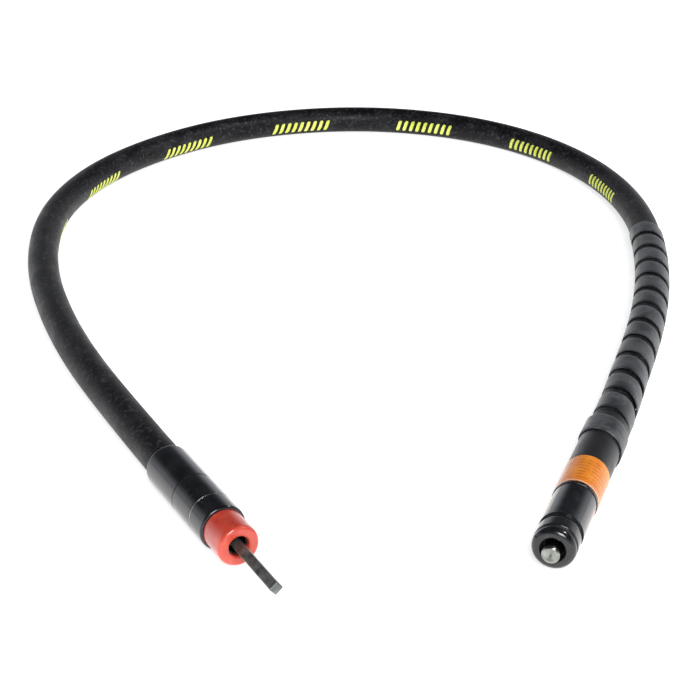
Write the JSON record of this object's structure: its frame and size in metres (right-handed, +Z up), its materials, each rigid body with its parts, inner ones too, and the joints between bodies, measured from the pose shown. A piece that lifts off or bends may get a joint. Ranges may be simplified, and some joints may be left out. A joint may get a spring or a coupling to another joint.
{
  "type": "concrete vibrator shaft",
  "caption": "Flexible drive shaft of a concrete vibrator: a rubber hose in a wide bow with a spiral bend protector, motor plug, threaded head coupling, red cap and turning core.",
  "frame": {"origin": "centre of the motor plug's seating plane, the front face of its flange; the shaft lies on a floor 17.5 mm below it", "axes": "+Y along the plug's axis into the hose, +Z up from the floor, +X to the right; the plug's nose points along -Y"},
  "size_m": [0.6596, 0.9927, 0.035],
  "materials": {
    "hose_rubber": "satin, slightly mottled",
    "strip_steel": "dark grey strip, satin",
    "black_gloss": "glossy black",
    "black_satin": "satin black",
    "orange_film": "printed band, fine ribs, no text",
    "bright_steel": "turned and ground",
    "dark_steel": "dark, mottled",
    "red_plastic": "soft gloss",
    "black_rubber": "matte",
    "bronze": "sintered bronze",
    "braid_wire": "braided wire",
    "bearing_steel": "polished",
    "mark_yellow": "printed bars on the hose, slightly worn"
  },
  "bodies": {
    "shaft_casing": {"hose_cover": "hose_rubber", "hose_braid": "braid_wire", "hose_liner": "dark_steel", "core_cable": "dark_steel", "bend_protector": "strip_steel", "motor_sleeve": "black_satin", "orange_band": "orange_film", "motor_plug": "black_gloss", "hose_insert": "bright_steel", "front_bearing_outer": "bearing_steel", "front_bearing_balls": "bearing_steel", "rear_bearing_outer": "bearing_steel", "rear_bearing_balls": "bearing_steel", "bearing_spacer": "bright_steel", "plug_circlip": "dark_steel", "nose_seal": "black_rubber", "plug_o_ring": "black_rubber", "head_ferrule": "black_gloss", "seam_ring": "bright_steel", "head_coupling": "black_gloss", "core_guide_bush": "bronze"},
    "thread_cap": {"thread_cap": "red_plastic"},
    "core_output": {"core_output_tip": "dark_steel", "core_head_stub": "dark_steel"},
    "core_input": {"core_input_end": "bright_steel", "core_motor_stub": "dark_steel", "front_bearing_inner": "bearing_steel", "rear_bearing_inner": "bearing_steel", "inner_spacer": "bright_steel", "shaft_circlip": "dark_steel"}
  },
  "joints": [
    {"name": "core_input_spin", "type": "hinge", "parent": "shaft_casing", "child": "core_input", "pos_m": [0, 0, 0], "axis": [0, -1, 0], "continuous": true},
    {"name": "core_output_spin", "type": "hinge", "parent": "shaft_casing", "child": "core_output", "pos_m": [-0.28857, -0.0428, -0.0007], "axis": [0.7302, -0.6833, 0], "continuous": true},
    {"name": "thread_cap_slide", "type": "slide", "parent": "shaft_casing", "child": "thread_cap", "axis": [0.7302, -0.6833, 0], "range_m": [0, 0.12]}
  ]
}
